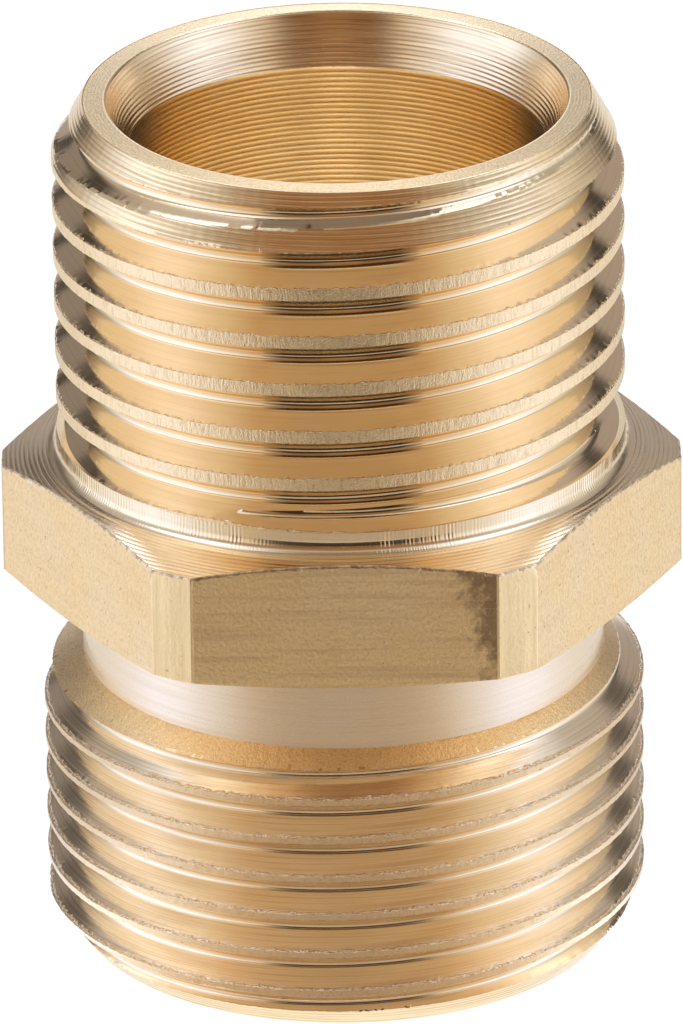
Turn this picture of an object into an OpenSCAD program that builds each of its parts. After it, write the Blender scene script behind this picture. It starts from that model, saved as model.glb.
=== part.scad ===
// Hex nipple, turned and threaded from hexagon bar.
// The upper end carries a parallel pipe thread with a conical sealing seat in its mouth.
// The lower end carries a metric fine thread below a plain relief neck.
// The fitting stands on its metric end, with the bore on the Z axis.

/* [Overall] */
// Length from end face to end face
total_len = 32; // [31:0.5:40]
// Diameter of the through bore
bore_d = 15; // [12:0.1:15.6]

/* [Pipe thread end] */
// Diameter over the flattened crests
pipe_od = 20.5; // [20.4:0.05:20.95]
// Thread pitch, fourteen turns to the inch
pipe_pitch = 1.814; // [1.75:0.001:1.85]
// Diameter at the thread root
pipe_root_d = 18.6; // [18.5:0.02:18.8]
// Width of the flat at the thread root
pipe_root_flat = 0.4; // [0.3:0.02:0.44]
// Angle between the two flanks
pipe_flank_angle = 55; // [50:1:60]
// Height of the first full root above the metric end face, seen from the front
pipe_root_z = 31.29; // [31.1:0.01:31.5]
// Outer diameter of the flat land on the end face
land_d = 18.2; // [17.8:0.1:18.4]
// Length of the lead-in chamfer
pipe_lead = 2; // [1.5:0.1:2.4]
// Diameter of the sealing seat at the end face
seat_d = 16.5; // [16:0.1:17]
// Depth of the conical sealing seat
seat_depth = 1.9; // [1:0.1:3]
// Height of the run-out groove where the thread stops
runout_z = 20; // [19.9:0.01:20.1]
// Depth of the run-out groove below the crests
runout_depth = 0.67; // [0.5:0.01:0.75]

/* [Collar] */
// Height of the top of the plain collar above the metric end face
collar_z = 19.45; // [19.3:0.05:19.45]
// Radius of the fillet at the foot of the collar
collar_fillet_r = 0.3; // [0.1:0.05:0.35]

/* [Hexagon] */
// Width across the flats
hex_af = 22; // [21.8:0.1:24]
// Width of the narrow flat on each corner of the bar
corner_flat_w = 1.54; // [0.8:0.02:2]
// Height of the lower face above the metric end face
hex_z = 13.75; // [13.5:0.05:15]
// Height of the upper face above the metric end face
hex_top_z = 18.67; // [18:0.01:18.8]
// Diameter at which the upper face begins to slope
hex_top_flat_d = 21; // [20.5:0.1:22]
// Slope of the upper face towards the corners
hex_top_slope = 18; // [5:0.5:25]
// Diameter at which the lower face begins to slope
hex_bottom_flat_d = 21.6; // [20:0.1:22]
// Slope of the lower face towards the corners
hex_bottom_slope = 11; // [5:0.5:25]

/* [Relief neck] */
// Diameter of the neck
neck_d = 18.9; // [18.5:0.1:19.4]
// Height of the foot of the neck above the metric end face
neck_z = 10.73; // [10.5:0.01:11]

/* [Metric thread end] */
// Diameter over the crests
metric_od = 21.8; // [21.74:0.02:21.96]
// Thread pitch
metric_pitch = 1.5; // [1.45:0.01:1.55]
// Diameter at the thread root
metric_root_d = 20.1; // [20:0.02:20.2]
// Width of the flat at the thread root
metric_root_flat = 0.32; // [0.2:0.02:0.34]
// Angle between the two flanks
metric_flank_angle = 60; // [55:1:62]
// Height of the first full root above the metric end face, seen from the front
metric_root_z = 9.98; // [9.8:0.01:10.1]
// Slope of the shoulder between the neck and the crests
shoulder_slope = 30; // [20:1:35]
// Outer diameter of the end face
metric_end_d = 19.5; // [19.4:0.1:20]
// Length of the lead-in chamfer
metric_lead = 1.5; // [1:0.1:1.6]
// Chamfer at the lower mouth of the bore
mouth_chamfer = 0.5; // [0.2:0.1:1]

/* [Hidden] */

$fn = 128;
brass = [0.80, 0.62, 0.36];
bore_r = bore_d / 2;
pipe_r = pipe_od / 2;
metric_r = metric_od / 2;
land_r = land_d / 2;
neck_r = neck_d / 2;
seat_z = total_len - seat_depth;

front_angle = -90;
stations_per_turn = 48;
cutter_clearance = 0.15;
// Turns of each thread cutter above or below the root seen from the front
pipe_turns_above = 1;
pipe_turns_below = (pipe_root_z - runout_z) / pipe_pitch - 0.08;
metric_turns_above = 1.1;
metric_turns_below = 7.3;

// Half the width of a V groove at height h above its root
function groove_half_width(root_flat, flank_angle, h) = root_flat / 2 + h * tan(flank_angle / 2);

function on_cylinder(r, angle, z) = [r * cos(angle), r * sin(angle), z];

// Four corners of the groove at one station, from the root outwards and back
function groove_section(angle, z, root_r, reach_r, root_flat, flank_angle) =
    let (inner = root_flat / 2)
    let (outer = groove_half_width(root_flat, flank_angle, reach_r - root_r))
    [on_cylinder(root_r, angle, z - inner), on_cylinder(reach_r, angle, z - outer),
     on_cylinder(reach_r, angle, z + outer), on_cylinder(root_r, angle, z + inner)];

// Two triangles between stations i and i + 1, on side j of the four-sided section
function side_faces(i, j) =
    let (a = 4 * i + j)
    let (b = 4 * i + (j + 1) % 4)
    [[a, b, b + 4], [a, b + 4, a + 4]];

// Right-hand helical groove, to be cut out of a sleeve
module helical_groove(pitch, root_z, root_r, reach_r, root_flat, flank_angle, below, above) {
    count = ceil((below + above) * stations_per_turn);
    turns = [for (i = [0 : count]) -below + (below + above) * i / count];
    sections = [for (t = turns)
        groove_section(front_angle + 360 * t, root_z + pitch * t, root_r, reach_r, root_flat,
                       flank_angle)];
    polyhedron(
        points = [for (s = sections) each s],
        faces = [
            [0, 3, 2], [0, 2, 1],
            for (i = [0 : count - 1]) for (j = [0 : 3]) each side_faces(i, j),
            [4 * count, 4 * count + 1, 4 * count + 2],
            [4 * count, 4 * count + 2, 4 * count + 3]
        ],
        convexity = 20);
}

// Prism of the bar's section: a hexagon whose corners end in narrow flats
module bar_section() {
    corner_r = hex_af / sqrt(3);
    cut_r = corner_r - corner_flat_w / (2 * sqrt(3));
    intersection() {
        circle(r = corner_r, $fn = 6);
        rotate(30) circle(r = cut_r / cos(30), $fn = 6);
    }
}

// Mouth of the pipe thread end: the flat land and the conical sealing seat inside it
module seat_ring() {
    color(brass) rotate_extrude() polygon([
        [bore_r, seat_z], [land_r, seat_z], [land_r, total_len], [seat_d / 2, total_len]
    ]);
}

// Plain bore wall between the hexagon and the seat ring
module pipe_end_tube() {
    color(brass) rotate_extrude() polygon([
        [bore_r, hex_top_z], [land_r, hex_top_z], [land_r, seat_z], [bore_r, seat_z]
    ]);
}

// Threaded sleeve over the pipe end tube, chamfered at its start
module pipe_thread() {
    root_r = pipe_r - runout_depth;
    root_half = pipe_root_flat / 2;
    reach_r = pipe_r + cutter_clearance;
    reach_half = groove_half_width(pipe_root_flat, pipe_flank_angle, reach_r - root_r);
    color(brass) difference() {
        rotate_extrude() polygon([
            [land_r, collar_z], [pipe_r, collar_z], [pipe_r, total_len - pipe_lead],
            [land_r, total_len]
        ]);
        helical_groove(pipe_pitch, pipe_root_z, pipe_root_d / 2, reach_r, pipe_root_flat,
                       pipe_flank_angle, pipe_turns_below, pipe_turns_above);
        rotate_extrude() polygon([
            [root_r, runout_z - root_half], [reach_r, runout_z - reach_half],
            [reach_r, runout_z + reach_half], [root_r, runout_z + root_half]
        ]);
    }
}

// Plain collar under the run-out, with a hollow fillet at its foot
module collar() {
    color(brass) rotate_extrude() difference() {
        translate([land_r, hex_top_z])
            square([pipe_r + collar_fillet_r - land_r, collar_z - hex_top_z]);
        translate([pipe_r + collar_fillet_r, hex_top_z + collar_fillet_r])
            circle(r = collar_fillet_r);
        translate([pipe_r, hex_top_z + collar_fillet_r])
            square([collar_fillet_r * 2, collar_z - hex_top_z]);
    }
}

// Wrench hexagon: bar section between two turned faces that slope towards the corners
module hexagon() {
    over_r = hex_af / sqrt(3) + 1;
    top_edge = hex_top_z - (over_r - hex_top_flat_d / 2) * tan(hex_top_slope);
    bottom_edge = hex_z + (over_r - hex_bottom_flat_d / 2) * tan(hex_bottom_slope);
    color(brass) intersection() {
        translate([0, 0, hex_z]) linear_extrude(hex_top_z - hex_z) bar_section();
        rotate_extrude() polygon([
            [bore_r, hex_z], [hex_bottom_flat_d / 2, hex_z], [over_r, bottom_edge],
            [over_r, top_edge], [hex_top_flat_d / 2, hex_top_z], [bore_r, hex_top_z]
        ]);
    }
}

// Relief neck between the hexagon and the metric thread
module neck() {
    color(brass) translate([0, 0, neck_z]) difference() {
        cylinder(r = neck_r, h = hex_z - neck_z);
        translate([0, 0, -1]) cylinder(r = bore_r, h = hex_z - neck_z + 2);
    }
}

// Bore wall of the metric end, chamfered at the mouth
module metric_end_tube() {
    color(brass) rotate_extrude() polygon([
        [bore_r + mouth_chamfer, 0], [neck_r, 0], [neck_r, neck_z], [bore_r, neck_z],
        [bore_r, mouth_chamfer]
    ]);
}

// Threaded sleeve over the metric end tube, from the shoulder to the chamfered end
module metric_thread() {
    shoulder_z = neck_z - (metric_r - neck_r) * tan(shoulder_slope);
    color(brass) difference() {
        rotate_extrude() polygon([
            [neck_r, 0], [metric_end_d / 2, 0], [metric_r, metric_lead],
            [metric_r, shoulder_z], [neck_r, neck_z]
        ]);
        helical_groove(metric_pitch, metric_root_z, metric_root_d / 2,
                       metric_r + cutter_clearance, metric_root_flat, metric_flank_angle,
                       metric_turns_below, metric_turns_above);
    }
}

seat_ring();
pipe_end_tube();
pipe_thread();
collar();
hexagon();
neck();
metric_end_tube();
metric_thread();
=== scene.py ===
import math

import bmesh
import bpy
import numpy as np
from mathutils import Matrix, Vector


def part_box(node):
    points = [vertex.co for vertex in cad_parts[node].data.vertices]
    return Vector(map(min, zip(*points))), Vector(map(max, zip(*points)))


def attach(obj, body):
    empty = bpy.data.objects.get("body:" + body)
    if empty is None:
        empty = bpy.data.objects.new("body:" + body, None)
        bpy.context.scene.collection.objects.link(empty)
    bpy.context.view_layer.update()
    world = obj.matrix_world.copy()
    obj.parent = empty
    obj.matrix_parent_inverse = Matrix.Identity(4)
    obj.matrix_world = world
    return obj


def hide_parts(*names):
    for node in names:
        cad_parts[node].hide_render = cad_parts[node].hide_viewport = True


# Looks of a hex nipple: one piece of turned, threaded and bored brass bar. Each CAD region is
# replaced by a finer mesh of the same size that adds root radii, tool marks, chatter and burrs.
# Lengths are in millimetres and angles in degrees until a mesh or a light is made.

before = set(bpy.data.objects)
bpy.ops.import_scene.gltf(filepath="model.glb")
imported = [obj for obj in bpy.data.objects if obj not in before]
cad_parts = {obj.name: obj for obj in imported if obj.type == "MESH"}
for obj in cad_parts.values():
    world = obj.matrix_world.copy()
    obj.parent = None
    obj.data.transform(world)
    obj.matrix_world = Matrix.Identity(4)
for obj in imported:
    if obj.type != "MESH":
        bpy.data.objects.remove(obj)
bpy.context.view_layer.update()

MM = 0.001
# Direction of the flat that faces the camera
FRONT = -90.0
# Start of the random marks, one more for each piece that has some
SEED = 20

# ---------------------------------------------------------------- driving dimensions


def bottom_of(node):
    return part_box(node)[0].z / MM


def top_of(node):
    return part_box(node)[1].z / MM


def radius_of(node):
    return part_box(node)[1].y / MM


# Sizes that the frame gives
TOTAL = top_of("seat_ring")
LAND_R = radius_of("seat_ring")
PIPE_R = radius_of("pipe_thread")
COLLAR_TOP = top_of("collar")
HEX_TOP = top_of("hexagon")
HEX_BOTTOM = bottom_of("hexagon")
HEX_HALF = radius_of("hexagon")
NECK_R = radius_of("neck")
NECK_BOTTOM = bottom_of("neck")
METRIC_R = radius_of("metric_thread")

# Bore, conical seat and end land, and the chamfer outside them
BORE_R = 7.5
SEAT_R = 8.25
SEAT_DEPTH = 1.9
LEAD_LENGTH = 2.0
RIM_ROUND = 0.12
LAND_DISH = 3.0

# Pitch of the turning marks on each surface, and how far they stand out
SEAT_FEED = 0.155
BORE_FEED = 0.2
FACE_FEED = 0.165
LEAD_FEED = 0.15
BORE_MARK = 0.009
FACE_MARK = 0.0045

# How far rough surfaces stay inside the CAD's
CLEARANCE = 0.004

# The threads: root_z is the height of a root at the front, depth is measured from the crests
PIPE = {"pitch": 1.814, "root_z": 31.289, "depth": 0.96, "root_radius": 0.25, "half_angle": 30.0}
METRIC = {"pitch": 1.5, "root_z": 9.984, "depth": 0.9, "root_radius": 0.18, "half_angle": 32.0}

# Run-out of the pipe thread. The tool stops travelling at RUNOUT_Z and leaves the metal RUNOUT_END
# degrees past the front. It gets shallower from RUNOUT_EASE degrees before that, and backs out
# from RUNOUT_DEPTH over the last RUNOUT_LIFT degrees.
RUNOUT_Z = 19.98
RUNOUT_END = 43.5
RUNOUT_EASE = 165
RUNOUT_LIFT = 92
RUNOUT_DEPTH = 0.81

# The metric end
SHOULDER_SLOPE = 30.0
METRIC_LEAD = 1.5
METRIC_END_R = 9.75
MOUTH_CHAMFER = 0.5

# The hexagon, and the fillet between it and the collar
CORNER_FLAT = 1.54
TOP_FLAT_R = 10.5
TOP_SLOPE = 18.0
BOTTOM_FLAT_R = 10.8
BOTTOM_SLOPE = 11.0
FILLET_R = 0.5

# ---------------------------------------------------------------- mesh tools


def tan(angle):
    return math.tan(math.radians(angle))


def ripple(rng, angles, heights, count, per_turn, per_mm):
    """Smooth noise in about -1 to 1 that closes round the axis: waves round it and along it."""
    turns = rng.integers(per_turn[0], per_turn[1] + 1, count)
    along = rng.uniform(per_mm[0], per_mm[1], count) * rng.choice([-1.0, 1.0], count)
    phase = rng.uniform(0, 2 * math.pi, count)
    total = np.zeros(np.broadcast(angles, heights).shape)
    for k in range(count):
        total += np.cos(np.radians(angles) * turns[k] + 2 * math.pi * heights * along[k] + phase[k])
    return total / math.sqrt(count)


def feed_marks(s, pitch, height):
    """Size of the sharp lines that a turning tool leaves, at distance s along its travel."""
    share = s / pitch
    return height * (2 * (share - np.round(share))) ** 2


def arc(centre, radius, start, end, steps):
    """Points of an arc in the plane of r and z, both ends included."""
    angles = np.radians(np.linspace(start, end, steps + 1))
    return [(centre[0] + radius * math.cos(a), centre[1] + radius * math.sin(a)) for a in angles]


def spread(start, end, step):
    """Points of a straight stretch in the plane of r and z, both ends included."""
    length = math.hypot(end[0] - start[0], end[1] - start[1])
    count = max(1, round(length / step))
    return [(start[0] + (end[0] - start[0]) * i / count, start[1] + (end[1] - start[1]) * i / count)
            for i in range(count + 1)]


def solid(name, angles, radii, heights, slots=None, sharp=32):
    """Closed mesh from closed sections: radii and heights hold one row for each angle.
    The last angle repeats the first. Points that coincide are welded and empty faces dropped.
    slots holds each face's material slot. Edges that bend more than sharp are shaded sharp."""
    welds_per_mm = 1e5
    turn = np.radians(angles)[:, None]
    points = np.stack([radii * np.cos(turn), radii * np.sin(turn), heights + 0 * turn], axis=-1)
    rows, columns = radii.shape
    keys = np.round(points.reshape(-1, 3) * welds_per_mm).astype(np.int64)
    _, first, inverse = np.unique(keys, axis=0, return_index=True, return_inverse=True)
    index = inverse.reshape(rows, columns)
    quads = np.stack([index[:-1, :-1], index[1:, :-1], index[1:, 1:], index[:-1, 1:]], axis=-1)
    quads = quads.reshape(-1, 4)
    slots = np.zeros(len(quads), int) if slots is None else slots.reshape(-1)
    faces, kept = [], []
    for face, slot in zip(quads.tolist(), slots.tolist()):
        ring = [v for i, v in enumerate(face) if v != face[i - 1]]
        if len(ring) > 2 and len(set(ring)) == len(ring):
            faces.append(ring)
            kept.append(slot)
    mesh = bpy.data.meshes.new(name)
    mesh.from_pydata((points.reshape(-1, 3)[first] * MM).tolist(), [], faces)
    mesh.polygons.foreach_set("material_index", kept)
    work = bmesh.new()
    work.from_mesh(mesh)
    bmesh.ops.recalc_face_normals(work, faces=work.faces)
    work.to_mesh(mesh)
    work.free()
    mesh.polygons.foreach_set("use_smooth", [True] * len(mesh.polygons))
    mesh.set_sharp_from_angle(angle=math.radians(sharp))
    piece = bpy.data.objects.new(name, mesh)
    bpy.context.scene.collection.objects.link(piece)
    return piece


def turned(name, outline, steps, wobble=None, skins=None):
    """Solid of revolution. wobble(angles, radii, heights) returns what to add to the radii.
    skins lists the material slot of each stretch of the outline."""
    angles = np.linspace(0, 360, steps + 1)[:, None]
    loop = np.array(outline + outline[:1])
    radii = np.repeat(loop[None, :, 0], steps + 1, axis=0)
    heights = np.repeat(loop[None, :, 1], steps + 1, axis=0)
    if wobble:
        radii = radii + wobble(angles, radii, heights)
    slots = None if skins is None else np.tile(skins, (steps, 1))
    return solid(name, angles[:, 0], radii, heights, slots)


def place(piece, node, slot, *materials):
    """Gives a piece its materials and its body, and hides the CAD node that it stands for. slot is
    not used.
    """
    for material in materials:
        piece.data.materials.append(material)
    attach(piece, "root")
    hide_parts(node)


# ---------------------------------------------------------------- threads


def groove_radius(offset, crest_r, depth, thread):
    """Radius of the surface that a V tool with a round nose leaves at an axial offset from it."""
    half = math.radians(thread["half_angle"])
    nose = thread["root_radius"]
    offset = np.abs(offset)
    nose_centre = crest_r - depth + nose
    round_part = nose_centre - np.sqrt(np.maximum(nose ** 2 - offset ** 2, 0))
    flank_start = nose * math.cos(half)
    flank = nose_centre - nose * math.sin(half) + (offset - flank_start) / math.tan(half)
    return np.where(offset < flank_start, round_part, flank)


def crest_half_width(thread):
    """Half the width of the groove where it meets the crests."""
    half = math.radians(thread["half_angle"])
    nose = thread["root_radius"]
    rise = thread["depth"] - nose + nose * math.sin(half)
    return nose * math.cos(half) + rise * math.tan(half)


def pipe_tool(turn_angle):
    """Height and depth of the pipe thread's tool against the unwound angle from the front.
    It follows the helix down, stops travelling at the run-out and then backs out. Where it
    doesn't cut, its depth is negative."""
    dwell = (RUNOUT_Z - PIPE["root_z"]) / PIPE["pitch"] * 360
    last_pass = math.floor(dwell / 360) * 360
    end = last_pass - RUNOUT_END
    lift, ease = end + RUNOUT_LIFT, end + RUNOUT_EASE
    height = np.maximum(PIPE["root_z"] + PIPE["pitch"] * turn_angle / 360, RUNOUT_Z)
    depth = np.interp(turn_angle, [lift, ease], [RUNOUT_DEPTH, PIPE["depth"]])
    backing = np.clip((lift - turn_angle) / (lift - end), 0, 1)
    depth = np.where(turn_angle < lift, RUNOUT_DEPTH * np.sqrt(1 - backing ** 2), depth)
    return height, np.where(turn_angle < end, -1.0, depth)


def metric_tool(turn_angle):
    """Height and depth of the metric thread's tool, which follows its helix all the way."""
    height = METRIC["root_z"] + METRIC["pitch"] * turn_angle / 360
    return height, np.full_like(height, METRIC["depth"])


def snapped(heights, gap):
    """Moves the row nearest to each sign change of gap onto it, so that edges are sharp."""
    moved = heights.copy()
    crossing = (gap[:, :-1] * gap[:, 1:]) < 0
    share = gap[:, :-1] / np.where(crossing, gap[:, :-1] - gap[:, 1:], 1)
    where = heights[:, :-1] + share * (heights[:, 1:] - heights[:, :-1])
    low = crossing & (share < 0.5)
    high = crossing & (share >= 0.5)
    moved[:, :-1][low] = where[low]
    moved[:, 1:][high] = where[high]
    return moved


def threaded(name, thread, tool, envelope, bottom, top, inner_r, crest_r, steps, marks, burrs,
             skin, edges=()):
    """Threaded sleeve. Its rows follow the helix, and its ends are cut flat at bottom and top.
    envelope(heights) is the turned blank, marks(angles, heights) its roughness,
    burrs(angles, heights) the metal left standing in the groove beside the crests, and
    skin(heights) the material slot of what the groove leaves uncut. The heights in edges get
    a sharp edge each."""
    nose_rows, flank_rows, crest_rows = 6, 7, 4
    burr_reach = 0.12
    # Limits for gaps and radii, which are infinite where no groove is cut
    most_gap, most_radius = 5, 50
    pitch = thread["pitch"]
    edge = crest_half_width(thread)
    around = np.radians(np.linspace(0, 90 - thread["half_angle"], nose_rows))
    nose = thread["root_radius"] * np.sin(around)
    flank = np.linspace(nose[-1], edge, flank_rows)[1:]
    crest = np.linspace(edge, pitch / 2, crest_rows)[1:]
    side = np.concatenate([nose, flank, crest])
    period = np.concatenate([-side[:0:-1], side[:-1]])
    first = math.floor((bottom - thread["root_z"]) / pitch) - 1
    last = math.ceil((top - thread["root_z"]) / pitch) + 1
    rows = np.concatenate([period + pitch * k for k in range(first, last + 1)])
    turn = np.linspace(0, 360, steps + 1)[:, None]
    heights = thread["root_z"] + pitch * turn / 360 + rows[None, :]
    within = np.clip(heights, bottom, top)
    roughness = marks(turn + FRONT, within)
    torn = burrs(turn + FRONT, within)

    def surfaces(z):
        blank = envelope(z) - roughness
        helix = np.full(z.shape, np.inf)
        runout = np.full(z.shape, np.inf)
        for k in range(first - 1, last + 2):
            tool_z, depth = tool(turn + 360 * k)
            groove = groove_radius(z - tool_z, crest_r, depth, thread)
            groove = groove + torn * np.clip((groove - blank) / burr_reach + 1, 0, 1)
            groove = np.where(depth <= 0, np.inf, groove)
            straight = tool_z <= thread["root_z"] + pitch * (turn / 360 + k) + 1e-9
            helix = np.where(straight, np.minimum(helix, groove), helix)
            runout = np.where(straight, runout, np.minimum(runout, groove))
        return blank, helix, runout

    for _ in range(2):
        blank, helix, runout = surfaces(heights)
        gap = np.clip(blank - np.minimum(helix, runout), -most_gap, most_gap)
        heights = snapped(heights, gap)
        gap = np.minimum(helix, most_radius) - np.minimum(runout, most_radius)
        heights = snapped(heights, gap)
    for level in edges:
        heights = snapped(heights, heights - level)
    heights = np.clip(heights, bottom, top)
    blank, helix, runout = surfaces(heights)
    cut = np.minimum(helix, runout)
    radii = np.maximum(np.minimum(blank, cut), inner_r)
    on_blank = blank <= cut + 1e-4
    uncut = (on_blank[:-1, :-1].astype(int) + on_blank[1:, :-1] + on_blank[1:, 1:]
             + on_blank[:-1, 1:] >= 3)
    slots = np.where(uncut, skin((heights[:-1, :-1] + heights[1:, 1:]) / 2), 0)
    ends = np.ones((steps + 1, 1))
    radii = np.hstack([radii, inner_r * ends, inner_r * ends, radii[:, :1]])
    heights = np.hstack([heights, top * ends, bottom * ends, heights[:, :1]])
    slots = np.hstack([slots, np.ones((steps, 3), int)])
    return solid(name, turn[:, 0] + FRONT, radii, heights, slots)


# ---------------------------------------------------------------- the pieces


def bore_rows(start, end, step):
    """Rows down a bore wall with its feed marks, from height start to height end."""
    count = max(2, round(abs(end - start) / step))
    z = np.linspace(start, end, count + 1)
    r = BORE_R + BORE_MARK - feed_marks(z, BORE_FEED, BORE_MARK)
    return list(zip(r.tolist(), z.tolist()))


def make_seat_ring():
    """Conical seat, rounded rim, slightly dished land and its rolled outer edge."""
    seat_step, land_step = 0.026, 0.04
    land_feed, land_mark = 0.12, 0.002
    land_end, edge_centre, edge_round, edge_foot = 0.07, 0.05, 0.06, 0.12
    mouth_z = TOTAL - SEAT_DEPTH
    cone = math.degrees(math.atan2(SEAT_DEPTH, SEAT_R - BORE_R))
    rim_centre = (SEAT_R + RIM_ROUND * tan(cone / 2), TOTAL - RIM_ROUND)
    rim = arc(rim_centre, RIM_ROUND, 90 + cone, 90, 6)
    seat = np.array(spread((BORE_R, mouth_z), rim[0], seat_step))
    seat[:, 0] += ((BORE_MARK - feed_marks(seat[:, 1], SEAT_FEED, BORE_MARK))
                   * np.clip(rim[0][1] - seat[:, 1], 0, 1))
    land = np.array(spread(rim[-1], (LAND_R - land_end, TOTAL), land_step))[1:]
    dish = (land[:, 0] - rim[-1][0]) * tan(LAND_DISH)
    land[:, 1] -= feed_marks(land[:, 0], land_feed, land_mark) + dish
    edge = arc((LAND_R - edge_centre, land[-1, 1] - edge_round), edge_round, 90, 30, 4)
    seat, land = [tuple(p) for p in seat], [tuple(p) for p in land]
    back = [(LAND_R, TOTAL - edge_foot), (LAND_R, mouth_z)]
    front = rim[1:] + land + edge
    skins = [0] * len(seat) + [1] * (len(front) - 1) + [0] * (len(back) + 1)
    return turned("seat_ring_visual", seat + front + back, 360, skins=skins)


def make_pipe_end_tube():
    """Bore wall behind the pipe thread."""
    low, high = bottom_of("pipe_end_tube"), top_of("pipe_end_tube")
    wall = bore_rows(low, high, 0.033)
    return turned("pipe_end_tube_visual", wall + [(LAND_R, high), (LAND_R, low)], 256)


def make_pipe_thread():
    """Coarse thread with flattened crests, a chamfered start and a run-out."""
    rng = np.random.default_rng(SEED)
    crest_feed, crest_mark, lead_mark = 0.16, 0.003, 0.0045
    chamfer = TOTAL - LEAD_LENGTH
    slope = (PIPE_R - LAND_R) / LEAD_LENGTH

    def envelope(z):
        return np.minimum(PIPE_R - CLEARANCE, LAND_R + (TOTAL - z) * slope - CLEARANCE)

    def marks(angles, heights):
        shake = ripple(rng, angles, heights, 24, (90, 260), (0.0, 0.6))
        waves = ripple(rng, angles, heights, 10, (5, 40), (0.1, 0.9))
        mark = np.where(heights > chamfer, lead_mark, crest_mark)
        lines = feed_marks(heights, crest_feed, mark)
        return 0.006 + 0.0022 * shake + 0.003 * waves + lines

    def burrs(angles, heights):
        return 0.04 * np.maximum(ripple(rng, angles, heights, 40, (60, 290), (0.1, 1.6)) - 0.1, 0)

    def skin(heights):
        """1 on the crests and 2 on the chamfer."""
        return np.where(heights > chamfer, 2, 1)

    return threaded("pipe_thread_visual", PIPE, pipe_tool, envelope, COLLAR_TOP, TOTAL - 0.03,
                    LAND_R, PIPE_R, 600, marks, burrs, skin, edges=(chamfer,))


def hex_top_at(r):
    """Height of the hexagon's turned top face at a radius."""
    return HEX_TOP - np.maximum(r - TOP_FLAT_R, 0) * tan(TOP_SLOPE)


def make_collar():
    """Plain collar with chatter bars across it, and the fillet at its foot."""
    rng = np.random.default_rng(SEED + 1)
    touch_r = PIPE_R + FILLET_R * (1 - math.sin(math.radians(TOP_SLOPE)))
    foot = hex_top_at(touch_r) + FILLET_R * math.cos(math.radians(TOP_SLOPE))
    wall = spread((PIPE_R, COLLAR_TOP), (PIPE_R, foot), 0.08)
    fillet = arc((PIPE_R + FILLET_R, foot), FILLET_R, 180, 270 - TOP_SLOPE, 9)
    outline = wall + fillet[1:] + [(TOP_FLAT_R, HEX_TOP), (LAND_R, HEX_TOP), (LAND_R, COLLAR_TOP)]

    def chatter(angles, radii, heights):
        bars = ripple(rng, angles, heights, 24, (360, 520), (0.0, 0.25))
        fine = ripple(rng, angles, heights, 16, (600, 760), (0.0, 0.1))
        patches = ripple(rng, angles, heights, 8, (2, 11), (0.0, 0.2))
        outside = radii > PIPE_R - 0.2
        on_fillet = np.clip((radii - PIPE_R) / FILLET_R * 2, 0, 1)
        strength = np.clip(0.9 + 0.6 * patches, 0.1, 1.7)
        depth = 0.0038 * (bars + 1) * (1 - on_fillet) + 0.0018 * (fine + 1) * on_fillet
        return np.where(outside, -CLEARANCE - strength * depth, 0)

    return turned("collar_visual", outline, 2880, chatter)


def hexagon_outline(flat_steps, corner_steps):
    """Angles round the bar's section and its radius at each: flats and narrow corner flats."""
    corner_r = 2 * HEX_HALF / math.sqrt(3)
    corner_d = corner_r - CORNER_FLAT / 2 / math.sqrt(3)
    half_flat = math.degrees(math.atan2(corner_r / 2 - CORNER_FLAT / math.sqrt(3), HEX_HALF))
    half_corner = 30 - half_flat
    angles, radii = [], []
    for side in range(6):
        middle = FRONT + 60 * side
        for t in np.linspace(-1, 1, flat_steps, endpoint=False):
            across = t * HEX_HALF * tan(half_flat)
            angles.append(middle + math.degrees(math.atan2(across, HEX_HALF)))
            radii.append(math.hypot(across, HEX_HALF))
        for t in np.linspace(-1, 1, corner_steps, endpoint=False):
            across = t * corner_d * tan(half_corner)
            angles.append(middle + 30 + math.degrees(math.atan2(across, corner_d)))
            radii.append(math.hypot(across, corner_d))
    return np.array(angles + [angles[0] + 360]), np.array(radii + [radii[0]])


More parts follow.
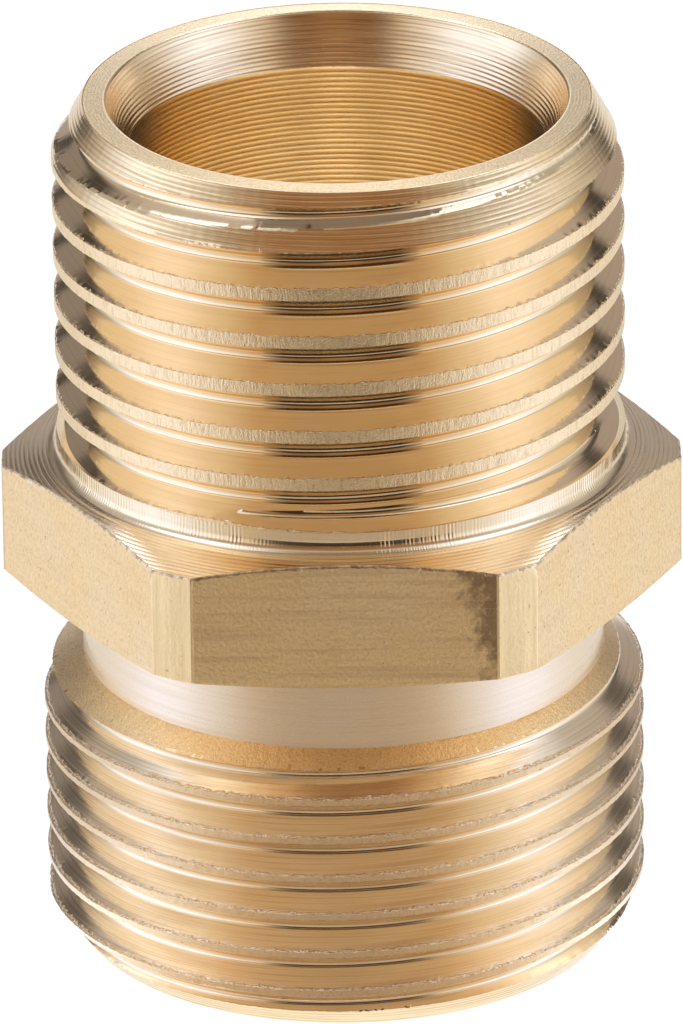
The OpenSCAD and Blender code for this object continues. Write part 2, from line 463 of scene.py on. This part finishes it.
def make_hexagon():
    """Bar section between two turned faces, its edges rolled, nicked and a little wavy."""
    rng = np.random.default_rng(SEED + 2)
    top_step, low_step, low_feed = 0.027, 0.06, 0.25
    edge_rows, side_rows = 5, 20
    edge_round, overlap = 0.07, 0.05
    angles, outline = hexagon_outline(flat_steps=72, corner_steps=12)
    angles, outline = angles[:, None], outline[:, None]
    nick = np.maximum(ripple(rng, angles, 0 * angles, 40, (20, 240), (0, 0)) - 0.9, 0) * 0.08
    wave = 0.018 * ripple(rng, angles, 0 * angles, 24, (30, 230), (0, 0))
    rim_r = outline - edge_round

    def bottom_z(r):
        return HEX_BOTTOM + np.maximum(r - BOTTOM_FLAT_R, 0) * tan(BOTTOM_SLOPE)

    def face(radii, z_of, marks_pitch, sign):
        r = np.minimum(radii[None, :], rim_r)
        marks = feed_marks(r, marks_pitch, FACE_MARK) * np.clip((rim_r - r) / 0.05, 0, 1)
        return r, z_of(r) - sign * marks

    reach = float(outline.max())
    top_r, top_h = face(np.arange(PIPE_R - overlap, reach, top_step), hex_top_at, FACE_FEED, 1)
    inwards = np.arange(NECK_R - overlap, reach, low_step)[::-1]
    low_r, low_h = face(inwards, bottom_z, low_feed, -1)
    turn = np.radians(np.linspace(0, 90, edge_rows))[None, :]
    top_edge_r = rim_r + (edge_round - nick) * np.sin(turn)
    top_edge_z = hex_top_at(rim_r) - (edge_round + nick + wave + 0.03) * (1 - np.cos(turn))
    low_edge_r = rim_r + edge_round * np.cos(turn)
    low_edge_z = bottom_z(rim_r) + (edge_round + 0.02 - wave) * (1 - np.sin(turn))
    share = np.linspace(0, 1, side_rows + 2)[None, 1:-1]
    side_z = top_edge_z[:, -1:] * (1 - share) + low_edge_z[:, :1] * share
    dull = ripple(rng, angles, side_z, 20, (6, 60), (0.05, 0.5))
    side_r = outline - 0.0035 - 0.0022 * np.clip(dull, -1.5, 1.5)
    bore = np.array(bore_rows(HEX_BOTTOM, HEX_TOP, 0.04))
    ones = np.ones_like(outline)
    radii = np.hstack([top_r, top_edge_r, side_r, low_edge_r, low_r, bore[None, :, 0] * ones,
                       top_r[:, :1]])
    heights = np.hstack([top_h, top_edge_z, side_z, low_edge_z, low_h, bore[None, :, 1] * ones,
                         top_h[:, :1]])
    # Slot 0 is the bar's skin, 1 the turned faces, 2 the rolled top edge and 3 the bore
    turned_rows = top_r.shape[1]
    side_end = turned_rows + 2 * edge_rows + side_rows
    slots = np.ones((len(angles) - 1, radii.shape[1] - 1), int)
    slots[:, turned_rows:side_end] = 0
    slots[:, turned_rows:turned_rows + edge_rows - 1] = 2
    slots[:, -len(bore) - 1:] = 3
    return solid("hexagon_visual", angles[:, 0], radii, heights, slots, sharp=27)


def make_neck():
    """Plain relief neck between the hexagon and the metric thread."""
    rng = np.random.default_rng(SEED + 3)
    wall_r = NECK_R - 0.003
    wall = spread((wall_r, HEX_BOTTOM), (wall_r, NECK_BOTTOM), 0.045)

    def tool_marks(angles, radii, heights):
        outside = radii > NECK_R - 0.2
        waves = ripple(rng, angles, heights, 12, (0, 9), (1.0, 5.0))
        return np.where(outside, 0.0006 * waves, 0)

    bore = bore_rows(NECK_BOTTOM, HEX_BOTTOM, 0.05)
    return turned("neck_visual", wall + bore, 300, tool_marks, [0] * len(wall) + [1] * len(bore))


def make_metric_end_tube():
    """End face, chamfered mouth and bore wall behind the metric thread."""
    high = top_of("metric_end_tube")
    mouth_r = BORE_R + MOUTH_CHAMFER
    face = spread((NECK_R, CLEARANCE), (mouth_r, CLEARANCE), 0.06)
    mouth = spread((mouth_r, CLEARANCE), (BORE_R, MOUTH_CHAMFER), 0.1)
    bore = bore_rows(MOUTH_CHAMFER, high, 0.05)
    return turned("metric_end_tube_visual", face + mouth[1:-1] + bore + [(NECK_R, high)], 256)


def make_metric_thread():
    """Fine thread with a torn crest, from the shoulder down to the chamfered end."""
    rng = np.random.default_rng(SEED + 4)
    shoulder = NECK_BOTTOM - (METRIC_R - NECK_R) * tan(SHOULDER_SLOPE)
    lead_slope = (METRIC_R - METRIC_END_R) / METRIC_LEAD

    def envelope(z):
        cone = NECK_R + (NECK_BOTTOM - z) / tan(SHOULDER_SLOPE)
        lead = METRIC_END_R + z * lead_slope
        return np.minimum(np.minimum(cone, lead), METRIC_R) - CLEARANCE

    def marks(angles, heights):
        torn = ripple(rng, angles, heights, 30, (40, 280), (0.0, 1.2))
        waves = ripple(rng, angles, heights, 12, (6, 60), (0.1, 1.0))
        return 0.008 + 0.005 * torn + 0.004 * waves

    def burrs(angles, heights):
        return 0.06 * np.maximum(ripple(rng, angles, heights, 40, (50, 280), (0.1, 1.8)) - 0.1, 0)

    def skin(heights):
        """1 on the crests, 2 on the chamfer and 3 on the shoulder."""
        return np.where(heights < METRIC_LEAD, 2, np.where(heights > shoulder, 3, 1))

    return threaded("metric_thread_visual", METRIC, metric_tool, envelope, CLEARANCE, NECK_BOTTOM,
                    NECK_R - 0.05, METRIC_R, 580, marks, burrs, skin,
                    edges=(METRIC_LEAD, shoulder))


# ---------------------------------------------------------------- materials


class Nodes:
    """Short names for the nodes of one material."""

    def __init__(self, name):
        self.material = bpy.data.materials.new(name)
        self.material.use_nodes = True
        self.tree = self.material.node_tree
        self.shader = self.tree.nodes["Principled BSDF"]
        self.where = self.tree.nodes.new("ShaderNodeTexCoord").outputs["Object"]

    def add(self, kind, inputs=(), **settings):
        """New node: inputs are sockets to link or values to set, settings are its options."""
        node = self.tree.nodes.new(kind)
        for key, value in settings.items():
            setattr(node, key, value)
        for key, value in dict(inputs).items():
            if isinstance(value, bpy.types.NodeSocket):
                self.tree.links.new(value, node.inputs[key])
            else:
                node.inputs[key].default_value = value
        return node

    def math(self, operation, a, b=0.0):
        return self.add("ShaderNodeMath", {0: a, 1: b}, operation=operation).outputs[0]

    def along(self, x, y, z):
        """The place on the piece, stretched: x, y and z are cycles per millimetre."""
        stretch = (x / MM, y / MM, z / MM)
        return self.add("ShaderNodeVectorMath", {0: self.where, 1: stretch},
                        operation="MULTIPLY").outputs[0]

    def travel(self, lean):
        """How far the turning tool has come, in metres. lean is how much of it lies along the
        radius and how much along the height."""
        parts = self.add("ShaderNodeSeparateXYZ", {0: self.where})
        flat = self.add("ShaderNodeCombineXYZ", {0: parts.outputs[0], 1: parts.outputs[1]})
        radius = self.add("ShaderNodeVectorMath", {0: flat.outputs[0]}, operation="LENGTH")
        return self.math("ADD", self.math("MULTIPLY", radius.outputs["Value"], lean[0]),
                         self.math("MULTIPLY", parts.outputs[2], lean[1]))

    def rings(self, round_axis, across, lean):
        """A place that changes slowly round the axis and fast across the tool marks."""
        parts = self.add("ShaderNodeSeparateXYZ", {0: self.where})
        height = self.math("MULTIPLY", self.travel(lean), across / round_axis)
        joined = self.add("ShaderNodeCombineXYZ",
                          {0: parts.outputs[0], 1: parts.outputs[1], 2: height})
        return self.add("ShaderNodeVectorMath", {0: joined.outputs[0], 3: round_axis / MM},
                        operation="SCALE").outputs[0]

    def noise(self, vector, detail=3.0, roughness=0.55):
        return self.add("ShaderNodeTexNoise", {"Vector": vector, "Scale": 1.0, "Detail": detail,
                                               "Roughness": roughness}).outputs[0]

    def ranged(self, value, low, high, start, end):
        """Goes from start to end while value goes from low to high, and stays there outside."""
        return self.add("ShaderNodeMapRange", {0: value, 1: low, 2: high, 3: start,
                                               4: end}).outputs[0]

    def mixed(self, factor, a, b):
        """Colour a where factor is 0 and b where it is 1."""
        node = self.add("ShaderNodeMix", {0: factor, 6: a, 7: b}, data_type="RGBA")
        return node.outputs[2]

    def bump(self, height, strength, distance, normal=None):
        """Relief on top of that in normal. distance is in millimetres."""
        inputs = {"Height": height, "Strength": strength, "Distance": distance * MM}
        if normal is not None:
            inputs["Normal"] = normal
        return self.add("ShaderNodeBump", inputs).outputs[0]

    def finish(self, colour, roughness, normal):
        self.shader.inputs["Metallic"].default_value = 1.0
        for key, value in (("Base Color", colour), ("Roughness", roughness), ("Normal", normal)):
            if isinstance(value, bpy.types.NodeSocket):
                self.tree.links.new(value, self.shader.inputs[key])
            else:
                self.shader.inputs[key].default_value = value
        return self.material


# Colours of clean metal, then of the burnt and dirty metal in its marks. The burnt and sooty colours
# also give the painted shade along the turning lines and hairlines.
BRIGHT = (0.95, 0.765, 0.515, 1)
DEEP = (0.90, 0.69, 0.41, 1)
PALE = (0.94, 0.77, 0.53, 1)
SILVER = (0.89, 0.73, 0.55, 1)
BORED = (0.995, 0.89, 0.69, 1)
CRESTED = (0.99, 0.77, 0.47, 1)
SATIN = (0.97, 0.81, 0.59, 1)
TORN = (0.84, 0.62, 0.37, 1)
SANDY = (0.99, 0.76, 0.44, 1)
FACED = (0.97, 0.81, 0.58, 1)
DRAWN = (0.97, 0.715, 0.375, 1)
YELLOW = (0.98, 0.75, 0.42, 1)
BURNT_AND_SHADE = (0.62, 0.42, 0.22, 1)
SOOT_AND_SHADE = (0.42, 0.27, 0.15, 1)
DARK = (0.20, 0.12, 0.07, 1)

# Which way the turning tool travelled: how much of it lies along the radius and along the height
ALONG_HEIGHT = (0.0, 1.0)
ALONG_RADIUS = (1.0, 0.0)
ALONG_BOTH = (0.83, 1.0)
DOWN_FLANK = (2.4, 0.08)


def turned_brass(name, colour, roughness, ring_depth, ring_shade, across=9.0, lean=ALONG_BOTH,
                 feed=1.0, feed_shade=0.0, feed_depth=0.0, frayed_r=0.0):
    """Brass with circular tool marks. ring_depth is their bump and ring_shade how dark they are:
    their darkness is partly real scratches and partly painted shade. across is how many there are
    in a millimetre. feed is the pitch of the regular lines, as in feed_marks: feed_shade darkens
    them with painted shade and feed_depth adds a bump to them. Outside the radius frayed_r, along
    the crests of a thread, the metal is torn and dirty."""
    n = Nodes(name)
    streaks = n.noise(n.rings(0.08, across, lean))
    hairlines = n.noise(n.rings(0.2, across * 2.5, lean), 1.0)
    cloud = n.noise(n.along(0.5, 0.5, 0.5), 2.0)
    fine = n.noise(n.along(14, 14, 14), 2.0)
    base = n.mixed(n.ranged(cloud, 0.35, 0.7, 0, 0.25), colour, DEEP)
    # Hairlines painted darker: partly real scratches, partly painted shade
    base = n.mixed(n.ranged(hairlines, 0.5, 0.72, 0, ring_shade), base, BURNT_AND_SHADE)
    if feed_shade or feed_depth:
        wave = n.math("COSINE", n.math("MULTIPLY", n.travel(lean), 2 * math.pi / (feed * MM)))
    # Painted shade along the turning lines, in patches
    if feed_shade:
        shade_patches = n.ranged(n.noise(n.along(0.3, 0.3, 2.5), 3.0), 0.38, 0.62, feed_shade, 0)
        line = n.math("MULTIPLY", n.ranged(wave, -0.2, -1, 0, 1), shade_patches)
        base = n.mixed(line, base, SOOT_AND_SHADE)
    rough = n.ranged(streaks, 0.3, 0.7, roughness * 0.7, roughness * 1.35)
    marks = n.bump(streaks, ring_depth, 0.02)
    if feed_depth:
        marks = n.bump(wave, 1.0, feed_depth, marks)
    if frayed_r:
        ragged = n.math("MULTIPLY", n.noise(n.along(4, 4, 2.5), 4.0, 0.65), 0.4)
        reach = n.math("ADD", n.math("MULTIPLY", n.travel(ALONG_RADIUS), 1 / MM), ragged)
        frayed = n.ranged(reach, frayed_r + 0.2, frayed_r + 0.24, 0, 1)
        grains = n.noise(n.along(13, 13, 11), 3.0, 0.65)
        dirt = n.math("MULTIPLY", frayed, n.ranged(grains, 0.46, 0.62, 0, 0.75))
        base = n.mixed(dirt, base, SOOT_AND_SHADE)
        marks = n.bump(n.math("MULTIPLY", frayed, grains), 0.7, 0.05, marks)
    grain = n.bump(fine, ring_depth * 0.4, 0.008, marks)
    return n.finish(base, rough, grain)


def torn_brass(name, colour, roughness, tear_bump, pits, bar_length):
    """Brass that the tool tore: short bars across its travel, grains, and dark pits. bar_length
    stretches the bars along the height."""
    n = Nodes(name)
    bars = n.noise(n.along(10, 10, 10 / bar_length), 3.0, 0.6)
    grains = n.noise(n.along(17, 17, 17), 3.0, 0.6)
    patches = n.noise(n.along(1.1, 1.1, 1.1), 2.0)
    holes = n.math("ADD", grains, n.math("MULTIPLY", patches, 0.5))
    base = n.mixed(n.ranged(bars, 0.5, 0.7, 0, 0.45), colour, BURNT_AND_SHADE)
    base = n.mixed(n.ranged(holes, 0.93, 1.05, 0, pits), base, DARK)
    rough = n.ranged(grains, 0.3, 0.7, roughness * 0.75, roughness * 1.4)
    marks = n.bump(bars, tear_bump, 0.05)
    grain = n.bump(grains, tear_bump, 0.03, marks)
    return n.finish(base, rough, grain)


def drawn_brass():
    """Skin of cold-drawn bar: leathery grain, dull lines, specks, brighter corner flats with
    lengthwise bands, and one brown stain at the end of the front flat."""
    n = Nodes("drawn_brass")
    parts = n.add("ShaderNodeSeparateXYZ", {0: n.where})
    x, y, z = (n.math("MULTIPLY", parts.outputs[axis], 1 / MM) for axis in range(3))
    radius = n.math("SQRT", n.math("ADD", n.math("MULTIPLY", x, x), n.math("MULTIPLY", y, y)))
    corner_start = math.hypot(HEX_HALF, HEX_HALF / math.sqrt(3) - CORNER_FLAT / math.sqrt(3)) - 0.05
    corner = n.ranged(radius, corner_start, corner_start + 0.03, 0, 1)
    grain = n.noise(n.along(8, 8, 6.5), 4.0, 0.6)
    lines = n.noise(n.along(0.15, 0.15, 4.6), 2.0)
    bands = n.noise(n.along(3.4, 3.4, 0.12), 3.0, 0.7)
    cloud = n.noise(n.along(0.5, 0.5, 0.4), 3.0)
    specks = n.noise(n.along(7, 7, 5), 1.5)
    blots = n.noise(n.along(1.5, 1.5, 1.2), 8.0, 0.7)
    base = n.mixed(n.ranged(cloud, 0.35, 0.7, 0, 0.4), DRAWN, PALE)
    front = n.ranged(y, -HEX_HALF + 0.03, -HEX_HALF + 0.06, 1, 0)
    lined = n.math("MULTIPLY", n.ranged(lines, 0.48, 0.66, 0, 1), n.ranged(front, 0, 1, 0.06, 0.4))
    base = n.mixed(lined, base, BURNT_AND_SHADE)
    base = n.mixed(n.ranged(grain, 0.45, 0.7, 0, 0.4), base, BURNT_AND_SHADE)
    base = n.mixed(corner, base, n.mixed(n.ranged(bands, 0.42, 0.62, 0, 0.3), YELLOW, BURNT_AND_SHADE))
    base = n.mixed(n.ranged(specks, 0.68, 0.76, 0, 0.65), base, SOOT_AND_SHADE)
    to_end = n.math("ADD", n.math("MULTIPLY", x, 0.26), n.math("MULTIPLY", z, 0.07))
    browned = n.ranged(n.math("ADD", blots, to_end), 2.77, 2.97, 0, 0.72)
    stain = n.math("MULTIPLY", n.math("MULTIPLY", browned, front), n.math("SUBTRACT", 1, corner))
    base = n.mixed(stain, base, DARK)
    dull = n.ranged(lines, 0.3, 0.7, 0.4, 0.52)
    rough = n.math("SUBTRACT", dull, n.math("MULTIPLY", corner, 0.14))
    ridges = n.bump(bands, 0.25, 0.02)
    pitted = n.math("MULTIPLY", grain, n.math("SUBTRACT", 1, n.math("MULTIPLY", corner, 0.8)))
    return n.finish(base, rough, n.bump(pitted, 0.8, 0.06, ridges))


def edge_brass():
    """Rolled edge of the hexagon's top: bright burrs and dark dirt in turn."""
    n = Nodes("edge_brass")
    dirt = n.noise(n.along(3.2, 3.2, 3.2), 4.0, 0.7)
    grains = n.noise(n.along(12, 12, 12), 2.0)
    base = n.mixed(n.ranged(dirt, 0.44, 0.62, 0, 0.85), BRIGHT, SOOT_AND_SHADE)
    return n.finish(base, 0.35, n.bump(grains, 0.8, 0.03))


def make_materials():
    return {
        "seat": turned_brass("seat_brass", PALE, roughness=0.2, ring_depth=0.12, ring_shade=0.3,
                             across=6.0, lean=ALONG_HEIGHT, feed=SEAT_FEED, feed_shade=0.6),
        "land": torn_brass("land_brass", CRESTED, roughness=0.17, tear_bump=0.12, pits=0.6,
                           bar_length=1.0),
        "lead": turned_brass("lead_brass", CRESTED, roughness=0.2, ring_depth=0.3, ring_shade=0.5,
                             across=8.0, lean=ALONG_HEIGHT, feed=LEAD_FEED, feed_shade=0.55,
                             feed_depth=0.0015),
        "bore": turned_brass("bore_brass", BORED, roughness=0.17, ring_depth=0.06, ring_shade=0.15,
                             across=5.0, lean=ALONG_HEIGHT, feed=BORE_FEED, feed_shade=0.45),
        "flank": turned_brass("pipe_flank_brass", BRIGHT, roughness=0.1, ring_depth=0.06,
                              ring_shade=0.22, across=5.0, lean=DOWN_FLANK,
                              frayed_r=PIPE_R - 0.06),
        "crest": torn_brass("pipe_crest_brass", CRESTED, roughness=0.3, tear_bump=0.5, pits=0.6,
                            bar_length=4.0),
        "collar": turned_brass("collar_brass", PALE, roughness=0.17, ring_depth=0.12,
                               ring_shade=0.15),
        "neck": turned_brass("neck_brass", SILVER, roughness=0.26, ring_depth=0.12,
                             ring_shade=0.12, across=7.0),
        "satin": turned_brass("metric_flank_brass", SATIN, roughness=0.17, ring_depth=0.15,
                              ring_shade=0.5, across=5.0, lean=DOWN_FLANK,
                              frayed_r=METRIC_R - 0.13),
        "torn": torn_brass("metric_crest_brass", TORN, roughness=0.3, tear_bump=0.4, pits=0.8,
                           bar_length=1.5),
        "faced": turned_brass("faced_brass", FACED, roughness=0.18, ring_depth=0.1,
                              ring_shade=0.3, across=6.0, lean=ALONG_RADIUS, feed=FACE_FEED,
                              feed_shade=0.5),
        "shoulder": torn_brass("shoulder_brass", SANDY, roughness=0.3, tear_bump=0.4, pits=0.8,
                               bar_length=1.5),
        "drawn": drawn_brass(),
        "edge": edge_brass(),
    }


# ---------------------------------------------------------------- stage, light and camera


def glow(name, strength):
    """Plain light-giving material for the floor and the cards."""
    material = bpy.data.materials.new(name)
    material.use_nodes = True
    tree = material.node_tree
    tree.nodes.clear()
    out = tree.nodes.new("ShaderNodeOutputMaterial")
    shader = tree.nodes.new("ShaderNodeEmission")
    shader.inputs["Color"].default_value = (1, 1, 1, 1)
    shader.inputs["Strength"].default_value = strength
    tree.links.new(shader.outputs[0], out.inputs["Surface"])
    return material


def band(name, stops, point):
    """Band of light round the part that only the brass sees. stops lists azimuth, strength and
    tint in turn, with 0 behind the part, as the camera sees it, and 90 to its right.
    point(azimuth, side) gives its two edges, side 0 and side 1."""
    mesh = bpy.data.meshes.new(name)
    turns = np.arange(stops[0][0], stops[-1][0] + 1, 2.0)
    colours = [np.interp(turns, [stop[0] for stop in stops],
                         [stop[1] * stop[2][channel] for stop in stops]) for channel in range(3)]
    points = [[c * MM for c in point(turn, side)] for turn in turns for side in (0, 1)]
    faces = [(2 * i, 2 * i + 2, 2 * i + 3, 2 * i + 1) for i in range(len(turns) - 1)]
    mesh.from_pydata(points, [], faces)
    light = mesh.color_attributes.new("light", "FLOAT_COLOR", "POINT")
    rgba = np.stack(colours + [np.ones_like(turns)], axis=1).repeat(2, axis=0)
    light.data.foreach_set("color", rgba.ravel())
    material = glow(name, 1.0)
    source = material.node_tree.nodes.new("ShaderNodeAttribute")
    source.attribute_name = "light"
    material.node_tree.links.new(source.outputs["Color"],
                                 material.node_tree.nodes["Emission"].inputs["Color"])
    staged(name, mesh, material, seen=False)


def staged(name, mesh, material, seen):
    """Puts a sheet of the stage into the scene. seen tells whether the camera sees it."""
    mesh.materials.append(material)
    sheet = bpy.data.objects.new(name, mesh)
    bpy.context.scene.collection.objects.link(sheet)
    sheet.visible_camera = seen


def sky(azimuth, elevation, distance):
    """Point in the studio's space, in millimetres, as seen from the middle of the part."""
    a, e = math.radians(azimuth), math.radians(elevation)
    return (distance * math.sin(a) * math.cos(e), distance * math.cos(a) * math.cos(e),
            TOTAL / 2 + distance * math.sin(e))


def ground(azimuth, distance, height):
    """Point at a distance from the axis, in millimetres."""
    a = math.radians(azimuth)
    return (distance * math.sin(a), distance * math.cos(a), height)


def wall(name, low, high, distance, stops):
    """Band between two elevations, at a distance from the middle of the part."""
    band(name, stops, lambda azimuth, side: sky(azimuth, (low, high)[side], distance))


def table_ring(name, inner_r, outer_r, height, stops):
    """Flat band on the table, between two distances from the axis."""
    band(name, stops, lambda azimuth, side: ground(azimuth, (inner_r, outer_r)[side], height))


def mirrored(stops, keep="both"):
    """Stops for both sides of the part, or for its left, from stops for its right."""
    left = [(-azimuth, strength, tint) for azimuth, strength, tint in stops[::-1]]
    return left if keep == "left" else left[:-1] + stops


# Tints of the light
PLAIN = (1.0, 1.0, 1.0)
COOL = (1.0, 1.1, 1.4)
CLEAR = (1.0, 1.03, 1.16)
ROSE = (1.0, 0.9, 0.88)
WARM = (1.0, 0.84, 0.68)
DUSK = (1.0, 0.55, 0.28)


def make_table():
    """Bands on the table, which the upright surfaces mirror: those near the part show at its
    foot and those farther out at its top. Each lies a little above the one that it covers."""
    foot = [(0, 1.0, PLAIN), (60, 0.9, PLAIN), (76, 1.0, COOL), (90, 1.28, COOL),
            (100, 1.5, COOL), (108, 1.8, COOL), (116, 1.65, COOL), (130, 1.15, CLEAR),
            (144, 0.82, WARM), (157, 0.58, WARM), (180, 0.46, WARM)]
    near = [(0, 1.0, PLAIN), (60, 0.88, PLAIN), (84, 0.72, PLAIN), (100, 0.8, PLAIN),
            (116, 0.95, CLEAR), (132, 0.95, PLAIN), (148, 0.62, WARM), (180, 0.5, WARM)]
    table = [(0, 1.0, PLAIN), (20, 0.9, PLAIN), (50, 0.84, PLAIN), (66, 0.9, PLAIN),
             (84, 1.0, CLEAR), (100, 1.15, COOL), (112, 1.12, COOL), (122, 0.95, CLEAR),
             (132, 0.8, PLAIN), (144, 0.62, WARM), (157, 0.5, WARM), (180, 0.48, WARM)]
    table_ring("table", 25, 290, 0.1, mirrored(table))
    table_ring("table_near", 19, 25, 0.1, mirrored(near))
    table_ring("table_foot", 11, 19, 0.15, mirrored(foot))

    # Floor inside the bore, which lights its wall
    inside = [(0, 1.6, CLEAR), (35, 1.5, CLEAR), (70, 0.8, PLAIN), (125, 0.8, PLAIN),
              (150, 1.5, CLEAR), (180, 1.6, CLEAR)]
    table_ring("table_bore", 0.05, 7.3, -0.004, mirrored(inside))

    # What the crests of the pipe thread, the hexagon and the collar mirror
    table_ring("table_edge", 63, 86, 0.2, [
        (150, 0.62, WARM), (158, 0.85, PLAIN), (168, 0.88, PLAIN), (180, 1.05, PLAIN),
        (192, 0.88, PLAIN), (202, 0.85, PLAIN), (210, 0.62, WARM)])
    table_ring("table_hex", 43, 51, 0.2, [
        (150, 0.62, WARM), (160, 0.55, WARM), (200, 0.55, WARM), (210, 0.62, WARM)])
    strip = [(0, 0.42, PLAIN), (34, 0.42, PLAIN), (48, 0.6, PLAIN), (60, 0.84, PLAIN),
             (84, 0.95, CLEAR), (100, 1.15, COOL), (112, 1.12, COOL), (122, 0.95, CLEAR),
             (132, 0.8, PLAIN), (144, 0.62, WARM), (157, 0.42, WARM), (180, 0.33, WARM)]
    table_ring("table_collar", 51, 58, 0.2, mirrored(strip))


def make_walls():
    """Bands round the studio, from the table up to the lamps, which sloping surfaces mirror."""
    # A bright window behind, dark stripes beside it, pale walls at the sides, a dim room in front
    front = [(128, 1.05, CLEAR), (146, 0.8, WARM), (151, 0.36, WARM), (159, 0.2, DUSK),
             (170, 0.2, DUSK), (174, 0.36, DUSK), (180, 0.36, DUSK)]
    right = [(0, 2.0, CLEAR), (4, 1.8, CLEAR), (8, 0.45, ROSE), (15, 0.4, ROSE), (34, 0.4, ROSE),
             (35, 0.1, ROSE), (42, 0.1, ROSE), (46, 0.3, ROSE), (60, 0.55, PLAIN)]
    left = [(0, 2.0, CLEAR), (4, 1.8, CLEAR), (8, 0.45, ROSE), (15, 0.42, ROSE), (19, 0.42, ROSE),
            (20, 0.08, ROSE), (22, 0.08, ROSE), (23, 0.28, ROSE), (32, 0.28, ROSE), (33, 0.11, ROSE),
            (42, 0.11, ROSE), (46, 0.3, ROSE), (60, 0.6, PLAIN)]
    wall("wall_right", -4, 26, 300, right + [
        (80, 0.85, PLAIN), (95, 1.1, COOL), (106, 1.3, COOL), (118, 1.2, COOL)] + front)
    wall("wall_right_dim", 26, 31, 300, right + [
        (80, 0.55, PLAIN), (118, 0.5, PLAIN), (134, 0.42, WARM), (150, 0.34, DUSK),
        (180, 0.3, DUSK)])
    wall("wall_left", -4, 26, 300, mirrored(left + [
        (74, 1.0, COOL), (84, 1.3, COOL), (116, 1.2, COOL)] + front, keep="left"))
    wall("wall_left_dim", 26, 31, 300, mirrored(left + [
        (78, 0.6, PLAIN), (98, 0.85, CLEAR), (112, 0.9, CLEAR), (130, 0.45, WARM),
        (150, 0.3, DUSK), (180, 0.3, DUSK)], keep="left"))
    wall("wall_middle", 31, 47, 300, mirrored([
        (0, 1.6, CLEAR), (5, 1.3, CLEAR), (9, 0.45, WARM), (24, 0.42, WARM), (26, 0.06, ROSE),
        (38, 0.06, ROSE), (44, 0.5, ROSE), (60, 0.5, PLAIN), (78, 0.55, PLAIN), (112, 0.6, PLAIN),
        (128, 0.42, WARM), (150, 0.32, DUSK), (180, 0.3, DUSK)]))

    # Two bright lamps behind, one on each side, and the upper walls round them
    wall("wall_upper", 47, 59, 300, mirrored([
        (0, 0.36, WARM), (8, 0.5, PLAIN), (12, 4.5, COOL), (28, 4.5, COOL), (34, 0.5, ROSE),
        (56, 0.6, PLAIN), (74, 1.4, COOL), (84, 2.6, COOL), (94, 2.6, COOL), (104, 2.0, COOL),
        (118, 1.5, COOL), (136, 0.85, CLEAR), (150, 0.56, PLAIN), (180, 0.52, WARM)]))
    wall("wall_high", 59, 71, 300, mirrored([
        (0, 0.3, WARM), (9, 0.4, PLAIN), (14, 1.2, COOL), (28, 1.2, COOL), (34, 0.6, ROSE),
        (56, 0.55, ROSE), (74, 1.2, COOL), (112, 1.2, COOL), (136, 0.6, PLAIN), (150, 0.36, WARM),
        (180, 0.3, DUSK)]))

    # Cards inside the walls: a dim one behind that the end land mirrors, the dark head of the
    # left lamp, and the dark camera in front
    wall("land_card", 16, 35, 280, mirrored([
        (0, 1.05, PLAIN), (3, 0.85, PLAIN), (5, 0.5, PLAIN), (8, 0.36, CLEAR), (17, 0.32, CLEAR)]))
    wall("lamp_head", 68, 79, 290, [(-44, 0.05, ROSE), (-14, 0.05, ROSE)])
    wall("flag", -12, 14, 70, [(148, 0.45, WARM), (156, 0.04, WARM), (204, 0.04, WARM),
                                (212, 0.45, WARM)])


def make_stage():
    """Pale floor, light from all sides and a dim warm world."""
    wide = 3000
    corners = ((-wide, -wide), (wide, -wide), (wide, wide), (-wide, wide))
    mesh = bpy.data.meshes.new("floor")
    mesh.from_pydata([(x * MM, y * MM, -0.01 * MM) for x, y in corners], [], [(0, 1, 2, 3)])
    staged("floor", mesh, glow("floor_white", 1.05), seen=True)
    make_table()
    make_walls()

    world = bpy.data.worlds.new("studio")
    world.use_nodes = True
    world.node_tree.nodes["Background"].inputs["Color"].default_value = (0.24, 0.21, 0.19, 1)
    bpy.context.scene.world = world
    bpy.context.scene.view_settings.view_transform = "Standard"
    bpy.context.scene.cycles.glossy_bounces = 8


def make_camera():
    """Long lens from 24 degrees above, turned a little and rolled a little as held by hand."""
    lens, sensor = 439.5, 36
    distance, elevation, roll, azimuth = 452.0, 23.723, -0.722, -0.288
    aim = Vector((-0.018, 0, 15.776))
    data = bpy.data.cameras.new("camera")
    data.lens = lens
    data.sensor_width = sensor
    data.clip_start, data.clip_end = 0.01, 20
    camera = bpy.data.objects.new("camera", data)
    bpy.context.scene.collection.objects.link(camera)
    e = math.radians(elevation)
    forward = Vector((0, math.cos(e), -math.sin(e)))
    right = Vector((1, 0, 0))
    up = right.cross(forward)
    r = math.radians(roll)
    x_axis = math.cos(r) * right + math.sin(r) * up
    y_axis = -math.sin(r) * right + math.cos(r) * up
    axes = Matrix((x_axis, y_axis, -forward)).transposed().to_4x4()
    turn = Matrix.Rotation(math.radians(azimuth), 4, "Z")
    camera.matrix_world = turn @ Matrix.Translation((aim - forward * distance) * MM) @ axes
    bpy.context.scene.camera = camera


brass = make_materials()
place(make_seat_ring(), "seat_ring", "turned_brass", brass["seat"], brass["land"])
place(make_pipe_end_tube(), "pipe_end_tube", "bored_brass", brass["bore"])
place(make_pipe_thread(), "pipe_thread", "bright_thread_brass", brass["flank"], brass["crest"],
      brass["lead"])
place(make_collar(), "collar", "turned_brass", brass["collar"])
place(make_hexagon(), "hexagon", "drawn_brass", brass["drawn"], brass["faced"],
      brass["edge"], brass["bore"])
place(make_neck(), "neck", "turned_brass", brass["neck"], brass["bore"])
place(make_metric_end_tube(), "metric_end_tube", "bored_brass", brass["bore"])
place(make_metric_thread(), "metric_thread", "satin_thread_brass", brass["satin"], brass["torn"],
      brass["lead"], brass["shoulder"])

make_stage()
make_camera()
